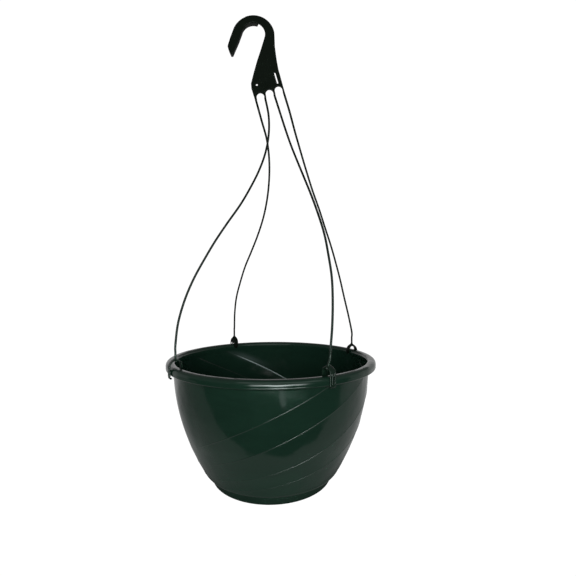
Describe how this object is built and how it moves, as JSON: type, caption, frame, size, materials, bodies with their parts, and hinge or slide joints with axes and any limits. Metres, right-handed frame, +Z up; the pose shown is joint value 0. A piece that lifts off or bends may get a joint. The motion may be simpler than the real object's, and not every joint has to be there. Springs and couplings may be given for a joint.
{
  "type": "hanging basket",
  "caption": "Round plastic hanging basket with a swirl-ribbed curved wall, rolled rim, drip saucer and a strand hanger that clips over the rim and ends in a flat hook.",
  "frame": {"origin": "centre of the drip saucer's flat underside, where the basket stands", "axes": "+Z up along the pot's axis towards the hook; -Y is the front, +X is to the right seen from the front"},
  "size_m": [0.301, 0.301, 0.6786],
  "materials": {
    "pot_plastic": "moulded dark green polypropylene, glossy, with fine swirl lines",
    "saucer_plastic": "moulded dark green polypropylene, glossy",
    "hanger_plastic": "moulded near-black green polypropylene, satin to glossy"
  },
  "bodies": {
    "pot": {"bowl": "pot_plastic", "drip_saucer": "saucer_plastic"},
    "hanger": {"strand_back_left": "hanger_plastic", "strand_front_left": "hanger_plastic", "strand_front_right": "hanger_plastic", "strand_back_right": "hanger_plastic"},
    "head": {"hook_head": "hanger_plastic"},
    "clip_bl": {"clip_back_left": "hanger_plastic"},
    "clip_fl": {"clip_front_left": "hanger_plastic"},
    "clip_fr": {"clip_front_right": "hanger_plastic"},
    "clip_br": {"clip_back_right": "hanger_plastic"}
  },
  "joints": [
    {"name": "hanger_turn", "type": "hinge", "parent": "pot", "child": "hanger", "pos_m": [0, 0, 0.166], "axis": [0, 0, 1], "continuous": true},
    {"name": "head_tilt", "type": "hinge", "parent": "hanger", "child": "head", "pos_m": [0.004, 0, 0.505], "axis": [0, 1, 0], "range_deg": [-15, 30], "deforming": ["strand_back_left", "strand_front_left", "strand_front_right", "strand_back_right"]},
    {"name": "clip_back_left_rock", "type": "hinge", "parent": "hanger", "child": "clip_bl", "pos_m": [-0.07417, 0.12343, 0.166], "axis": [-0.8572, -0.515, 0], "range_deg": [-15, 8], "deforming": ["strand_back_left"]},
    {"name": "clip_front_left_rock", "type": "hinge", "parent": "hanger", "child": "clip_fl", "pos_m": [-0.11938, -0.08052, 0.166], "axis": [0.5592, -0.829, 0], "range_deg": [-15, 8], "deforming": ["strand_front_left"]},
    {"name": "clip_front_right_rock", "type": "hinge", "parent": "hanger", "child": "clip_fr", "pos_m": [0.07287, -0.1242, 0.166], "axis": [0.8625, 0.506, 0], "range_deg": [-15, 8], "deforming": ["strand_front_right"]},
    {"name": "clip_back_right_rock", "type": "hinge", "parent": "hanger", "child": "clip_br", "pos_m": [0.12943, 0.06313, 0.166], "axis": [-0.4384, 0.8988, 0], "range_deg": [-15, 8], "deforming": ["strand_back_right"]}
  ]
}
